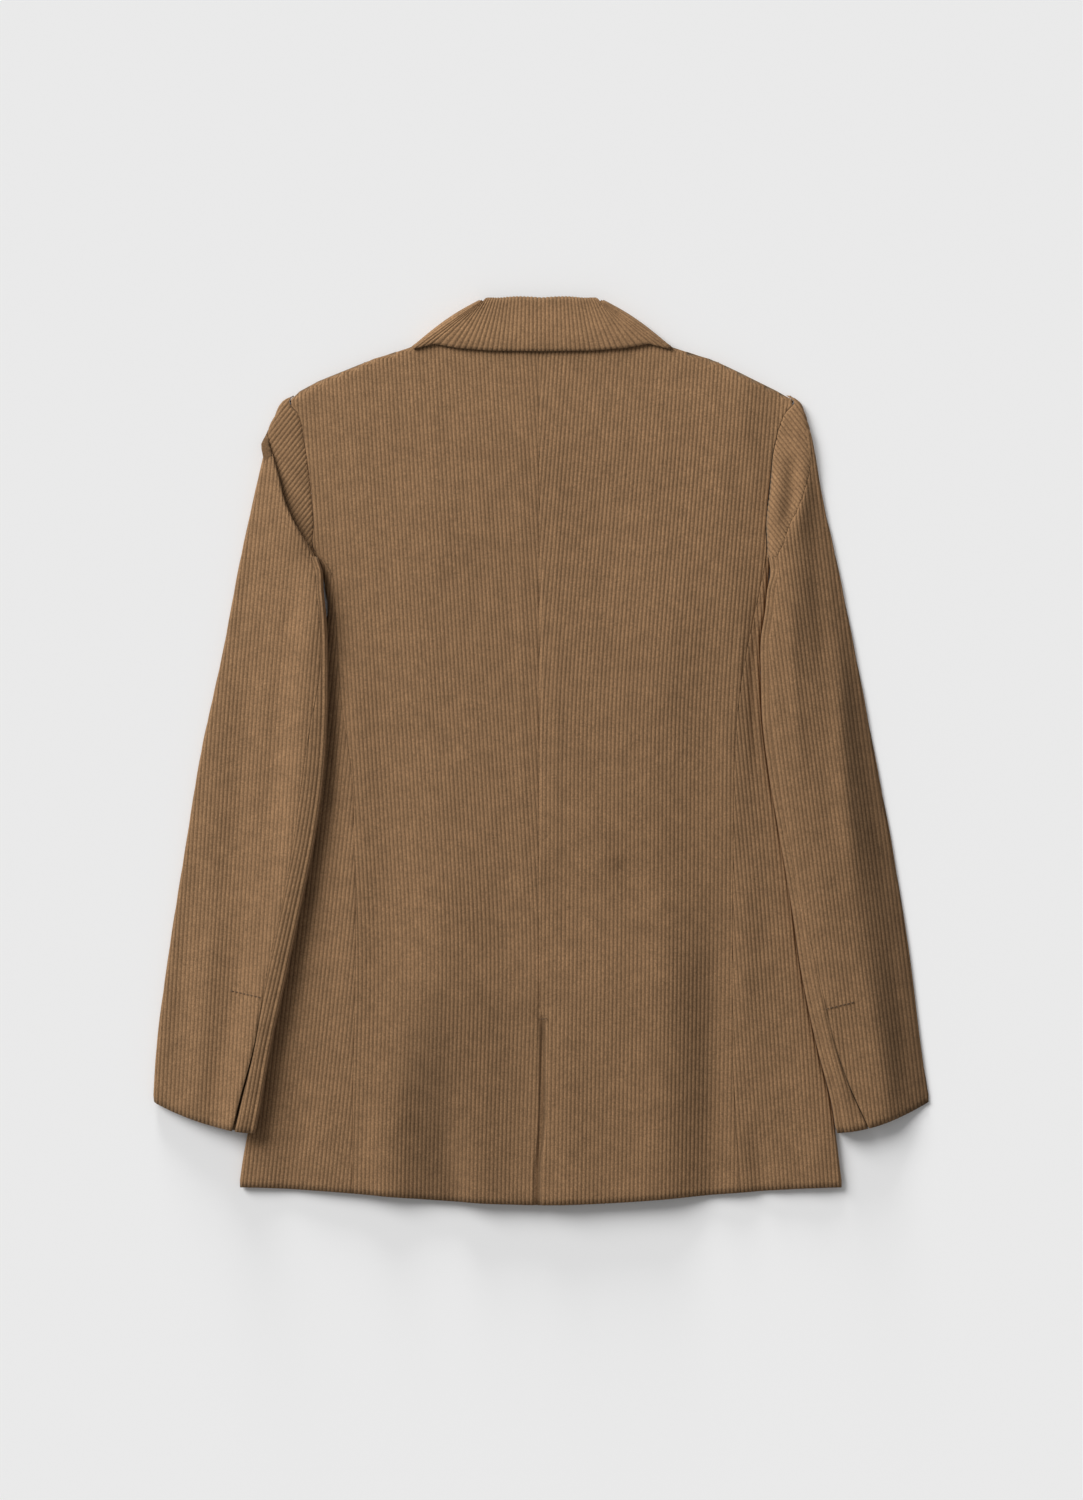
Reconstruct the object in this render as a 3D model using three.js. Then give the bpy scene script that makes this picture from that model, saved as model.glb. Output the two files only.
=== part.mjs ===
// A double-breasted corduroy blazer, laid flat face down with its sleeves beside it.
// Millimetres. +X is the wearer's right, +Y the collar end, +Z up from the surface it lies on.
// Every piece of cloth is a closed wall. Tables run from the collar (high y) down to the hem.
import * as THREE from "three";

// Driving dimensions
const CLOTH = 2.4;              // wall of one layer: corduroy with its fused backing
const LAPEL_CLOTH = 3.0;        // turned lapel, front and facing together
const SEAM = 0.35;              // gap between two pieces at a seam
const REST_GAP = 0.5;           // gap between two layers that lie on each other
const SIDE_HEIGHT = 7.0;        // both layers together at a side fold
const FRONT_RISE = 3.3;         // how far the lapels and buttons lift the fronts
const OVERLAP = 75;             // how far each front passes the centre
const BUTTON_RADIUS = 11.5;
const BUTTON_HEIGHT = 3.0;
const BUTTON_COLUMN = 52;       // centre line to a column of buttons
const BUTTON_ROWS = [10, -70, -150];
const NECK_Y = 337;             // neck seam at the centre back
const HEM_Y = -358;             // sides of the hem
const HEM_DROP = 14;            // how much lower the hem is at the centre
const FRONT_HEM_Y = HEM_Y + 4;  // the fronts end a little short of the back
const ARMPIT_Y = 148;
const VENT_TOP_Y = -211;
const UNDERLAP = 36;            // back left passes this far under back right at the vent
const ROLL_TOP = { x: 51, y: 369 };
const BREAK_Y = 40;             // where the lapels start to turn
const GORGE = { x: 19, y: 285 };
const PEAK = { x: 144, y: 318 };
const PEAK_DIP = 7;             // how far the lapel's top edge dips between the peak and the gorge
const INSEAM = 24;              // forearm seam, from the inner edge on the underside
const EDGE_RADIUS = SIDE_HEIGHT / 2;
const CUFF_Y = -313;            // inner end of a cuff
const COLLAR_TIP = { x: 107, y: 331 };
const COLLAR_CORNER = { x: 49, y: 372 };
const COLLAR_DEPTH = 4.8;       // how far the roll falls behind its edge

const COLOURS = {
  back: 0x86694a,
  sleeve: 0x7c6146,
  front: 0x7f6446,
  collar: 0x8a6c4d,
  button: 0x4a3728,
};

// How far the back reaches each way: shoulder, armhole, then side-back seam
const BACK = [
  { y: 337, left: 77, right: 77 },
  { y: 331.5, left: 90, right: 90 },
  { y: 327.5, left: 106, right: 106 },
  { y: 323, left: 126, right: 126 },
  { y: 314, left: 150, right: 150 },
  { y: 304, left: 177, right: 171 },
  { y: 294, left: 198, right: 192 },
  { y: 287, left: 204, right: 204 },
  { y: 275, left: 199, right: 199 },
  { y: 251, left: 194, right: 191 },
  { y: 215, left: 189, right: 186.5 },
  { y: 185, left: 186.5, right: 183.5 },
  { y: 162, left: 185.5, right: 184 },
  { y: 148, left: 173.5, right: 182 },
  { y: 114, left: 169, right: 175 },
  { y: 64, left: 166, right: 165 },
  { y: 27, left: 162, right: 160 },
  { y: -10, left: 156, right: 158 },
  { y: -75, left: 153, right: 157 },
  { y: -190, left: 152, right: 156 },
  { y: -270, left: 154, right: 157 },
  { y: -366, left: 155, right: 163 },
];

// Side folds of the body, and the front seams under them
const SIDES = [
  { y: 148, left: 178.6, right: 187, front_left: 174, front_right: 180 },
  { y: 130, left: 177.2, right: 185, front_left: 166, front_right: 170 },
  { y: 113, left: 175.2, right: 183.3, front_left: 159, front_right: 161 },
  { y: 92, left: 182, right: 180, front_left: 153, front_right: 153 },
  { y: 59, left: 186, right: 180, front_left: 149, front_right: 149 },
  { y: 25, left: 189, right: 181, front_left: 147, front_right: 147 },
  { y: -8, left: 190, right: 185, front_left: 147, front_right: 147 },
  { y: -50, left: 193, right: 192, front_left: 148, front_right: 148 },
  { y: -104, left: 201, right: 202, front_left: 152, front_right: 152 },
  { y: -175, left: 214, right: 212, front_left: 158, front_right: 158 },
  { y: -243, left: 229, right: 226, front_left: 164, front_right: 164 },
  { y: -287, left: 236, right: 237, front_left: 167, front_right: 167 },
  { y: -336, left: 245, right: 244, front_left: 170, front_right: 170 },
  { y: -366, left: 249, right: 248, front_left: 172, front_right: 172 },
];

// Outer edges of the sleeves
const SLEEVE_OUTER = [
  { y: 285, left: 213, right: 213 },
  { y: 274, left: 219, right: 217 },
  { y: 264, left: 225, right: 220 },
  { y: 245, left: 229, right: 224 },
  { y: 215, left: 235, right: 229 },
  { y: 156, left: 247, right: 242 },
  { y: 77, left: 262, right: 258 },
  { y: -1, left: 279, right: 273 },
  { y: -80, left: 292, right: 288 },
  { y: -169, left: 306, right: 302 },
  { y: -247, left: 316, right: 312 },
  { y: -289, left: 318.5, right: 318.5 },
];

// Inner edges of the sleeves below the armpit, and the elbow seams' distance from them
const SLEEVE_INNER = [
  { y: 148, left: 179.2, right: 187.6, elbow_left: 5.5, elbow_right: 5.5 },
  { y: 130, left: 177.8, right: 185.6, elbow_left: 5.5, elbow_right: 5.5 },
  { y: 113, left: 175.8, right: 184, elbow_left: 5.5, elbow_right: 5.5 },
  { y: 92, left: 174.5, right: 180.8, elbow_left: 5.5, elbow_right: 5.5 },
  { y: 59, left: 174, right: 180.8, elbow_left: 7, elbow_right: 5.5 },
  { y: 25, left: 174.5, right: 181.8, elbow_left: 13, elbow_right: 5.5 },
  { y: -16, left: 177, right: 186.8, elbow_left: 17, elbow_right: 5.5 },
  { y: -69, left: 184, right: 195.7, elbow_left: 17, elbow_right: 5.5 },
  { y: -129, left: 197, right: 206, elbow_left: 16, elbow_right: 7 },
  { y: -183, left: 209, right: 214, elbow_left: 16, elbow_right: 12 },
  { y: -248, left: 223, right: 228, elbow_left: 14, elbow_right: 14 },
  { y: -285, left: 230, right: 237.4, elbow_left: 18, elbow_right: 18 },
  { y: -314, left: 236, right: 242, elbow_left: 20, elbow_right: 26 },
];

// Where the fronts lie lifted: fully as far as "full", not at all from "none"
const LIFT = [
  { y: 337, full: 158, none: 204 },
  { y: 290, full: 158, none: 204 },
  { y: 260, full: 145, none: 194 },
  { y: 215, full: 134, none: 186 },
  { y: 100, full: 107, none: 165 },
  { y: 0, full: 86, none: 142 },
  { y: -366, full: 80, none: 136 },
];

// Largest folds of the back and sleeves, each along a line, with a width and a height (a trough is < 0)
const FOLDS = [
  { on: "body", x: 172, y: 120, to_x: 170, to_y: -30, width: 9, height: -1.4 },
  { on: "body", x: -78, y: -230, to_x: -88, to_y: -380, width: 30, height: -1.8 },
  { on: "body", x: 128, y: -120, to_x: 136, to_y: -380, width: 24, height: -1.1 },
  { on: "body", x: 30, y: -60, to_x: 66, to_y: -110, width: 20, height: 0.9 },
  { on: "sleeve_right", x: 244, y: 30, to_x: 256, to_y: -110, width: 9, height: 1.2 },
  { on: "sleeve_right", x: 262, y: 20, to_x: 284, to_y: -130, width: 9, height: -1.2 },
  { on: "sleeve_right", x: 262, y: -170, to_x: 286, to_y: -290, width: 11, height: 1.1 },
  { on: "sleeve_left", x: -240, y: 60, to_x: -262, to_y: -150, width: 12, height: -1.1 },
  { on: "sleeve_left", x: -262, y: -120, to_x: -276, to_y: -290, width: 10, height: 1.0 },
];

// The tuck where the left sleeve swings over its cap
const TUCK = { x: -226, y: 259, to_x: -184, to_y: 158, height: 1.6, reach: 60 };

const group = new THREE.Group();
const mix = (a, b, t) => a + (b - a) * t;
const clamp = (t) => Math.min(1, Math.max(0, t));
const smooth = (t) => clamp(t) ** 2 * (3 - 2 * clamp(t));

// Reads one column of a table at a height, by a cubic through its rows
function read(table, column, y) {
  const last = table.length - 1;
  let row = 0;
  while (row < last - 1 && table[row + 1].y > y) row += 1;
  const slope = (i) => {
    const before = table[Math.max(i - 1, 0)];
    const after = table[Math.min(i + 1, last)];
    return (after[column] - before[column]) / (after.y - before.y);
  };
  const span = table[row + 1].y - table[row].y;
  const t = clamp((y - table[row].y) / span);
  const start = table[row][column];
  const end = table[row + 1][column];
  const blend = t * t * (3 - 2 * t);
  const leave = t * (1 - t) ** 2 * span * slope(row);
  const arrive = t * t * (1 - t) * span * slope(row + 1);
  return mix(start, end, blend) + leave - arrive;
}

function sumOfFolds(on, x, y) {
  let sum = 0;
  for (const fold of FOLDS) {
    if (fold.on !== on) continue;
    const dx = fold.to_x - fold.x;
    const dy = fold.to_y - fold.y;
    const length = Math.hypot(dx, dy);
    const along = ((x - fold.x) * dx + (y - fold.y) * dy) / length ** 2;
    const away = ((x - fold.x) * dy - (y - fold.y) * dx) / length;
    const ends = smooth(along * 4) * smooth((1 - along) * 4);
    sum += fold.height * ends * Math.exp(-((away / fold.width) ** 2));
  }
  return sum;
}

// 1 where lapels and buttons lie under the fronts, falling to 0 at the sides and the hem
function lifted(x, y) {
  const full = read(LIFT, "full", y);
  const none = read(LIFT, "none", y);
  return smooth((none - Math.abs(x)) / (none - full)) * smooth((y + 250) / 70);
}

// 1 where both fronts lie on each other
function doubled(x, y) {
  return smooth((140 - Math.abs(x)) / 55) * smooth((305 - y) / 60);
}

// Loft of the back beside the vent: back left dips to pass under back right
function loft(x, y, side) {
  const down = (CLOTH + REST_GAP) * smooth((-150 - y) / 56);
  if (side > 0) return down * smooth((140 - x) / 80);
  return down * smooth((-6 - x) / 70) * smooth((x + 150) / 60);
}

// Left front passes over the right one, which lies next to the surface
function frontBottom(x, y, side) {
  const over = side < 0 ? (CLOTH + REST_GAP) * doubled(x, y) : 0;
  return FRONT_RISE * lifted(x, y) + over;
}

function backTop(x, y, side) {
  const bottom = SIDE_HEIGHT - CLOTH + 1.7 * lifted(x, y) + (CLOTH + REST_GAP) * doubled(x, y);
  return bottom + CLOTH + loft(x, y, side) + sumOfFolds("body", x, y);
}

// Makes a closed wall from a grid of outer points: rows run down the piece, and
// columns run left to right as the piece is seen from outside. Flat rims are cut
// square, so that two pieces keep one gap all through their seam.
function wall(name, colour, grid, thickness = CLOTH) {
  const rows = grid.length;
  const columns = grid[0].length;
  const at = (i, j) => i * columns + j;
  const points = grid.flat();
  const normals = points.map(() => new THREE.Vector3());
  const faces = [];
  for (let i = 0; i < rows - 1; i += 1) {
    for (let j = 0; j < columns - 1; j += 1) {
      faces.push([at(i, j), at(i + 1, j), at(i + 1, j + 1)]);
      faces.push([at(i, j), at(i + 1, j + 1), at(i, j + 1)]);
    }
  }
  for (const [a, b, c] of faces) {
    const normal = new THREE.Vector3().subVectors(points[b], points[a]);
    normal.cross(new THREE.Vector3().subVectors(points[c], points[a]));
    for (const corner of [a, b, c]) normals[corner].add(normal);
  }
  const inner = points.map((point, k) => {
    const normal = normals[k].normalize();
    const j = k % columns;
    const rim = j === 0 || j === columns - 1 || k < columns || k >= points.length - columns;
    if (rim && Math.abs(normal.z) > 0.5) normal.set(0, 0, Math.sign(normal.z));
    return point.clone().addScaledVector(normal, -thickness);
  });
  const count = points.length;
  const index = faces.flat();
  for (const [a, b, c] of faces) index.push(a + count, c + count, b + count);
  const rim = [];
  for (let i = 0; i < rows - 1; i += 1) rim.push(at(i, 0));
  for (let j = 0; j < columns - 1; j += 1) rim.push(at(rows - 1, j));
  for (let i = rows - 1; i > 0; i -= 1) rim.push(at(i, columns - 1));
  for (let j = columns - 1; j > 0; j -= 1) rim.push(at(0, j));
  rim.forEach((here, k) => {
    const next = rim[(k + 1) % rim.length];
    index.push(here, here + count, next + count, here, next + count, next);
  });
  const geometry = new THREE.BufferGeometry();
  const places = [...points, ...inner].flatMap((point) => [point.x, point.y, point.z]);
  geometry.setAttribute("position", new THREE.Float32BufferAttribute(places, 3));
  geometry.setIndex(index);
  geometry.computeVertexNormals();
  addMesh(name, geometry, colour);
}

function addMesh(name, geometry, colour, roughness = 0.95) {
  const material = new THREE.MeshStandardMaterial({ color: colour, roughness, metalness: 0 });
  const mesh = new THREE.Mesh(geometry, material);
  mesh.name = name;
  group.add(mesh);
  return mesh;
}

// Turns rows of points for the right side into the same side or its mirror image
function sided(side, grid) {
  if (side > 0) return grid;
  return grid.map((row) => row.map((point) => new THREE.Vector3(-point.x, point.y, point.z)).reverse());
}

const steps = (count) => Array.from({ length: count + 1 }, (_, i) => i / count);
const nameOf = (side) => (side < 0 ? "left" : "right");

// Half-turn round an edge, from the top (0) to the bottom (1)
function roundEdge(edge, top, bottom, turn) {
  const radius = (top - bottom) / 2;
  const angle = Math.PI * turn;
  return { x: edge - radius + radius * Math.sin(angle), z: bottom + radius + radius * Math.cos(angle) };
}

// Heights that neighbouring pieces share, so that their seams keep one gap
const ARMHOLE_ROWS = [285, 274, 262, 240, 215, 185, 162];
const LOWER_ROWS = [ARMPIT_Y, 130, 113, 92, 60, 20, -25, -70, -120, -170];
const HEM_ROWS = [-206, -224, -262, -305, -340];
const BACK_ROWS = [NECK_Y, 331.5, 327.5, 323, 314, 304, 294, ...ARMHOLE_ROWS, ...LOWER_ROWS, ...HEM_ROWS, HEM_Y];
const ACROSS = [0, 0.18, 0.36, 0.53, 0.7, 0.84, 0.93, 0.98, 1];

// Hem: lowest at the centre, rising to the sides
const hemDrop = (x, y) => HEM_DROP * (1 - smooth(Math.abs(x) / 260)) * smooth((-300 - y) / 54);

function addBack(side) {
  const reach = nameOf(side);
  const grid = BACK_ROWS.map((y) => {
    const outer = read(BACK, reach, y);
    const below = smooth((VENT_TOP_Y - y) / 12);
    const centre = side > 0 ? -2 + SEAM / 2 + 1.5 * below : 2 + SEAM / 2 - (UNDERLAP + 2) * below;
    const shoulder = smooth((y - 280) / 9);
    return ACROSS.map((t) => {
      const x = mix(centre, outer, t);
      const drop = shoulder * smooth((t - 0.9) / 0.1);
      const seat = frontBottom(side * x, y, side) + CLOTH + SEAM + CLOTH;
      const z = mix(backTop(side * x, y, side), seat, drop);
      return new THREE.Vector3(x, y - hemDrop(x, y), z);
    });
  });
  wall(`back_${reach}`, COLOURS.back, sided(side, grid));
}

const SIDE_ROWS = [...LOWER_ROWS, ...HEM_ROWS, HEM_Y];
const EDGE_TURNS = steps(5);

function addSide(side) {
  const reach = nameOf(side);
  const grid = SIDE_ROWS.map((y) => {
    const seam = read(BACK, reach, y) + SEAM;
    const edge = read(SIDES, reach, y);
    const front = read(SIDES, `front_${reach}`, y);
    const radius = SIDE_HEIGHT / 2;
    const row = [];
    for (const t of [0, 0.35, 0.7]) {
      const x = mix(seam, edge - radius, t);
      row.push(new THREE.Vector3(x, y - hemDrop(x, y), backTop(side * x, y, side)));
    }
    for (const turn of EDGE_TURNS) {
      const { x, z } = roundEdge(edge, SIDE_HEIGHT, 0, turn);
      row.push(new THREE.Vector3(x, y - hemDrop(x, y), z));
    }
    for (const t of [0.35, 0.7, 1]) {
      const x = mix(edge - radius, front, t);
      row.push(new THREE.Vector3(x, y - hemDrop(x, y), frontBottom(side * x, y, 1)));
    }
    return row;
  });
  wall(`side_${reach}`, COLOURS.back, sided(side, grid));
}

// The roll line runs straight from the neck to the break, across the centre
const rollAt = (y) => ROLL_TOP.x - ((ROLL_TOP.y - y) * (ROLL_TOP.x + OVERLAP)) / (ROLL_TOP.y - BREAK_Y);

const FRONT_ROWS = [326, 314, 304, 294, ...ARMHOLE_ROWS, ...LOWER_ROWS, ...HEM_ROWS, FRONT_HEM_Y];

function addFront(side) {
  const reach = nameOf(side);
  const grid = FRONT_ROWS.map((y) => {
    const inset = 6 * smooth((y - GORGE.y) / 20);
    const inner = y > BREAK_Y ? rollAt(y) + inset : -OVERLAP;
    const outer = y > ARMPIT_Y ? read(BACK, reach, y) : read(SIDES, `front_${reach}`, y) - SEAM;
    return steps(7).map((t) => {
      const x = mix(outer, inner, t);
      return new THREE.Vector3(x, y - hemDrop(x, y), frontBottom(side * x, y, side));
    });
  });
  wall(`front_${reach}`, COLOURS.front, sided(side, grid));
}

// Peak lapel, turned on to the front, from the gorge to the break
const LAPEL_EDGE = [
  { y: 320, out: 146 },
  { y: 250, out: 128 },
  { y: 180, out: 103 },
  { y: 100, out: 46 },
  { y: 60, out: -22 },
  { y: 42, out: -68 },
];

function addLapel(side) {
  const under = side < 0;
  const lowest = under ? 118 : BREAK_Y + 6;
  const grid = steps(9).map((v) => {
    const innerY = mix(GORGE.y - 1, lowest, v);
    const outerY = mix(PEAK.y, lowest + (under ? 6 : 3), v);
    const cover = rollAt(innerY);
    const inner = under ? Math.max(cover, 1 - cover) : cover;
    const outer = read(LAPEL_EDGE, "out", outerY);
    const notch = PEAK_DIP * (1 - smooth(v * 9));
    return steps(5).map((t) => {
      const dip = notch * (1 - Math.abs(t - 0.6) / 0.6);
      return new THREE.Vector3(mix(outer, inner, t), mix(outerY, innerY, t) - Math.max(dip, 0), 0);
    });
  });
  wall(`lapel_${nameOf(side)}`, COLOURS.front, sided(side, grid), LAPEL_CLOTH);
}

// One sleeve, a flattened tube. Rows tilt towards the cuff, higher at the outer edge.
const SLEEVE_ROWS = [...ARMHOLE_ROWS, ...LOWER_ROWS, -206, -245, -280, CUFF_Y];
const cuffTilt = (y) => 25 * smooth((40 - y) / 354);

// Left sleeve rests on the body's side fold; both are flat on the surface elsewhere
function sleeveBase(x, y, side) {
  if (side > 0) return 0;
  const edge = read(SIDES, "left", Math.min(y, ARMPIT_Y));
  return (SIDE_HEIGHT + REST_GAP) * smooth((edge + 30 - x) / 26) * smooth((160 - y) / 46);
}

function tuckRise(x, y) {
  const dx = TUCK.to_x - TUCK.x;
  const dy = TUCK.to_y - TUCK.y;
  const length = Math.hypot(dx, dy);
  const along = ((x - TUCK.x) * dx + (y - TUCK.y) * dy) / length ** 2;
  const out = ((x - TUCK.x) * dy - (y - TUCK.y) * dx) / length;
  const across = smooth(out / 9) * smooth((TUCK.reach - out) / 40);
  return TUCK.height * across * smooth(along * 5) * smooth((1.6 - along) * 2);
}

// A point across one row, from the inner edge (place 0) to the outer edge (1), on the top or bottom face
function sleevePoint(side, y, place, face) {
  const reach = nameOf(side);
  const capped = y > ARMPIT_Y;
  const inner = capped ? read(BACK, reach, y) + SEAM : read(SLEEVE_INNER, reach, y);
  const outerY = y + cuffTilt(y);
  const outer = read(SLEEVE_OUTER, reach, outerY);
  const bow = 5 * smooth((-200 - y) / 110) * 4 * place * (1 - place);
  const x = mix(inner, outer, place);
  const rowY = mix(y, outerY, place) - bow;
  const base = sleeveBase(x, rowY, side);
  if (face === "bottom") return new THREE.Vector3(x, rowY, base);
  const width = outer - inner;
  const edges = smooth((place * width - 5) / 14) * smooth(((1 - place) * width - 4) / 12);
  const folds = sumOfFolds(`sleeve_${reach}`, side * x, rowY) + (side < 0 ? tuckRise(-x, rowY) : 0);
  const crown = 1.2 * smooth((270 - y) / 60);
  return new THREE.Vector3(x, rowY, base + SIDE_HEIGHT + edges * (crown + folds));
}

function sleeveWidth(side, y) {
  const near = sleevePoint(side, y, 0, "bottom");
  const far = sleevePoint(side, y, 1, "bottom");
  return Math.hypot(far.x - near.x, far.y - near.y);
}

// Round the outer edge of a sleeve at one height
function outerEdge(side, y, turns) {
  const near = EDGE_RADIUS / sleeveWidth(side, y);
  const centre = sleevePoint(side, y, 1 - near, "bottom");
  const tip = sleevePoint(side, y, 1, "bottom");
  return turns.map((turn) => {
    const angle = Math.PI * turn;
    const place = centre.clone().lerp(tip, Math.sin(angle));
    place.z = centre.z + EDGE_RADIUS * (1 + Math.cos(angle));
    return place;
  });
}

function innerEdge(side, y, turns) {
  const near = EDGE_RADIUS / sleeveWidth(side, y);
  const centre = sleevePoint(side, y, near, "bottom");
  const tip = sleevePoint(side, y, 0, "bottom");
  return turns.map((turn) => {
    const angle = Math.PI * turn;
    const place = centre.clone().lerp(tip, Math.sin(angle));
    place.z = centre.z + EDGE_RADIUS * (1 - Math.cos(angle));
    return place;
  });
}

function addTopSleeve(side) {
  const reach = nameOf(side);
  const grid = SLEEVE_ROWS.map((y) => {
    const width = sleeveWidth(side, y);
    const capped = y > ARMPIT_Y;
    const elbow = capped ? 0 : read(SLEEVE_INNER, `elbow_${reach}`, y) / width;
    const inseam = capped ? 0 : (INSEAM * smooth((ARMPIT_Y + 1 - y) / 18)) / width;
    const edge = 1 - EDGE_RADIUS / width;
    const top = [0, 0.2, 0.4, 0.6, 0.8].map((t) => sleevePoint(side, y, mix(elbow, edge, t), "top"));
    const turned = outerEdge(side, y, steps(4));
    const under = [0.35, 0.7, 1].map((t) => sleevePoint(side, y, mix(edge, inseam, t), "bottom"));
    return [...top, ...turned, ...under];
  });
  wall(`top_sleeve_${reach}`, COLOURS.sleeve, sided(side, grid));
}

function addUnderSleeve(side) {
  const reach = nameOf(side);
  const grid = SLEEVE_ROWS.filter((y) => y < ARMPIT_Y).map((y) => {
    const width = sleeveWidth(side, y);
    const inseam = (INSEAM * smooth((ARMPIT_Y + 1 - y) / 18) - SEAM) / width;
    const near = EDGE_RADIUS / width;
    const vent = 4 * smooth((-200 - y) / 110);
    const elbow = (read(SLEEVE_INNER, `elbow_${reach}`, y) - SEAM - vent) / width;
    const under = [0, 0.5].map((t) => sleevePoint(side, y, mix(inseam, near, t), "bottom"));
    const turned = innerEdge(side, y, steps(4));
    const top = sleevePoint(side, y, Math.max(elbow, near + 0.1 / width), "top");
    return [...under, ...turned, top];
  });
  wall(`under_sleeve_${reach}`, COLOURS.sleeve, sided(side, grid));
}

// Collar fall: round the neck from gorge to gorge, over the back and under the shoulders
const COLLAR_TOP = backTop(0, 330, 1) + REST_GAP + CLOTH;
const FALL_LOW = [
  { x: 0, low: 326 },
  { x: 42, low: 326.5 },
  { x: 68, low: 328.5 },
  { x: 88, low: 332 },
];

function collarColumns() {
  const radius = COLLAR_TOP / 2;
  const slant = new THREE.Vector2(COLLAR_TIP.x - COLLAR_CORNER.x, COLLAR_TIP.y - COLLAR_CORNER.y).normalize();
  const inward = new THREE.Vector2(slant.y, -slant.x);
  const columns = FALL_LOW.map(({ x, low }) => ({
    roll: new THREE.Vector2((x / FALL_LOW.at(-1).x) * (COLLAR_CORNER.x - radius), COLLAR_CORNER.y),
    edge: new THREE.Vector2(x, low),
    z: COLLAR_TOP,
    fold: 1,
  }));
  for (const turn of steps(6)) {
    const angle = Math.PI * turn;
    const shift = inward.clone().multiplyScalar(radius * (1 - Math.sin(angle)));
    columns.push({
      roll: new THREE.Vector2(COLLAR_CORNER.x, COLLAR_CORNER.y).add(shift),
      edge: new THREE.Vector2(COLLAR_TIP.x, COLLAR_TIP.y).add(shift),
      z: radius * (1 + Math.cos(angle)),
      fold: Math.max(Math.cos(angle), 0),
    });
  }
  columns.push({ roll: new THREE.Vector2(34, 326), edge: new THREE.Vector2(102, 322), z: 0, fold: 0 });
  columns.push({ roll: new THREE.Vector2(GORGE.x, GORGE.y + 0.4), edge: new THREE.Vector2(98, 309), z: 0, fold: 0 });
  return columns;
}

function collarPoints({ roll, edge, z, fold }) {
  const length = edge.distanceTo(roll);
  const toEdge = edge.clone().sub(roll).divideScalar(length);
  const bend = Math.max(COLLAR_DEPTH * fold, 1.6);
  const points = [0, 30, 60, 90].map((degrees) => {
    const angle = (degrees * Math.PI) / 180;
    const place = roll.clone().addScaledVector(toEdge, bend * (1 - Math.cos(angle)));
    return new THREE.Vector3(place.x, place.y, z - COLLAR_DEPTH * fold * (1 - Math.sin(angle)));
  });
  for (const t of [0.35, 0.7, 1]) {
    const place = roll.clone().addScaledVector(toEdge, mix(bend, length, t));
    points.push(new THREE.Vector3(place.x, place.y, z));
  }
  return points;
}

function addCollar() {
  const right = collarColumns().map(collarPoints);
  const left = right.slice(1).map((column) => column.map((point) => new THREE.Vector3(-point.x, point.y, point.z)));
  const columns = [...left.reverse(), ...right];
  const grid = columns[0].map((_, row) => columns.map((column) => column[row]));
  wall("collar_fall", COLOURS.collar, grid);
}

function addStand() {
  const top = backTop(0, 330, 1);
  const grid = [366, 352, NECK_Y + SEAM].map((y) => {
    const half = mix(40, 74, (366 - y) / 29);
    return steps(6).map((t) => new THREE.Vector3(mix(-half, half, t), y, top));
  });
  wall("collar_stand", COLOURS.collar, grid);
}

// Front button: a disc with a dished face and a rounded rim, face down
function addButton(column, row) {
  const profile = [
    [0, 0.6], [7, 0.6], [8, 0], [10.3, 0], [BUTTON_RADIUS, 1.4], [9.8, BUTTON_HEIGHT], [0, BUTTON_HEIGHT],
  ];
  const geometry = new THREE.LatheGeometry(profile.map(([r, z]) => new THREE.Vector2(r, z)), 12);
  geometry.rotateX(Math.PI / 2);
  geometry.translate((column === 1 ? -1 : 1) * BUTTON_COLUMN, BUTTON_ROWS[row - 1], 0);
  addMesh(`button_${column}_${row}`, geometry, COLOURS.button, 0.45);
}

for (const side of [-1, 1]) {
  addBack(side);
  addSide(side);
  addFront(side);
  addLapel(side);
  addTopSleeve(side);
  addUnderSleeve(side);
}
addCollar();
addStand();
for (const column of [1, 2]) {
  for (const row of [1, 2, 3]) addButton(column, row);
}

export default group;
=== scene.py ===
# A double-breasted corduroy blazer, laid flat face down: its cloth, light and camera.
# Tables are in millimetres, in the part's frame, and run from the collar (high y) to the hem.
# "Out" is the distance from the centre line, so one formula serves the left and the right side.
import math

import bpy
import numpy as np
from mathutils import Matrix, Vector


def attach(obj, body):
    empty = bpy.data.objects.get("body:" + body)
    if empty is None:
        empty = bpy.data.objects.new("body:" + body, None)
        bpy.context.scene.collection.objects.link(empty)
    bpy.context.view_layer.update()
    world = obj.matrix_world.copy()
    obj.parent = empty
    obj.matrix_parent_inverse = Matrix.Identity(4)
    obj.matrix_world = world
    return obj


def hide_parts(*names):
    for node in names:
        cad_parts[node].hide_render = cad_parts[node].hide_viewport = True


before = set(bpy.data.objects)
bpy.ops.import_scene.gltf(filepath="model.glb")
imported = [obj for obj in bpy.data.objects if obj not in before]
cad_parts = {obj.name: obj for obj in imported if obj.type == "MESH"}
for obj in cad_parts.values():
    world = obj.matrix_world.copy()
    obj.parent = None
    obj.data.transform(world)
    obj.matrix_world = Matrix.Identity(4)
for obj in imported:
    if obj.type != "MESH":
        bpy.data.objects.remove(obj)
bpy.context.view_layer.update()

MM = 0.001
PITCH = 3.28                # one wale of the corduroy and its groove
WALE_HEIGHT = 0.6
GROOVE_DEPTH = 0.75         # how far the bottom of a groove lies under a piece's shape
END_REACH = 3.5             # how far from a piece's end its cloth is drawn in
EDGE = 4.2                  # how far a sleeve edge turns in, as seen from above
SLEEVE_INSEAM = 24.0        # forearm seam, from the inner edge on the underside
CLOTH = 2.4                 # wall of one layer
REST_GAP = 0.5              # gap between two layers that lie on each other
SIDE_HEIGHT = 7.0           # both layers together at a side fold
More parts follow.
